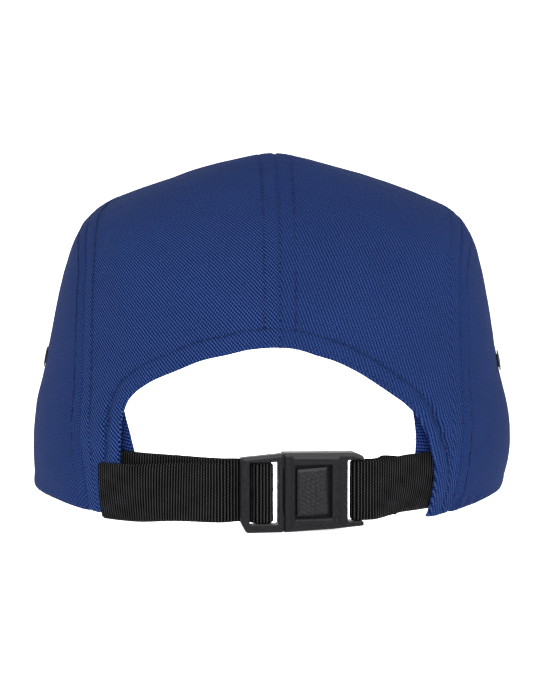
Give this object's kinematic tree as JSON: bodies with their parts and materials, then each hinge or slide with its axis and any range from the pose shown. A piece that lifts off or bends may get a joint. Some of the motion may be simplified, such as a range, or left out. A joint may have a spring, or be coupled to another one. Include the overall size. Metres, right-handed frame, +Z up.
{
  "type": "cap",
  "caption": "Soft peaked cap sewn from a wide front panel, side panels and back panels, with an arched back opening closed by a webbing strap and a push-release buckle.",
  "frame": {"origin": "centre of the box on the surface the cap rests on", "axes": "+Z up; the peak points to -Y, the buckle is at +Y and the wearer's left is +X"},
  "size_m": [0.17, 0.2696, 0.1202],
  "materials": {
    "twill": "matt cotton twill",
    "band": "matt cotton twill, inside",
    "webbing": "ribbed woven webbing",
    "plastic": "satin moulded plastic",
    "eyelet": "black enamel on metal"
  },
  "bodies": {
    "root": {"front_panel": "twill", "side_panel_left": "twill", "side_panel_right": "twill", "top_panel_left": "twill", "top_panel_right": "twill", "peak": "twill", "sweatband": "band", "strap_left": "webbing", "strap_right": "webbing", "buckle_plug": "plastic", "buckle_socket": "plastic", "eyelet_left_rear": "eyelet", "eyelet_left_front": "eyelet", "eyelet_right_rear": "eyelet", "eyelet_right_front": "eyelet"}
  },
  "joints": []
}
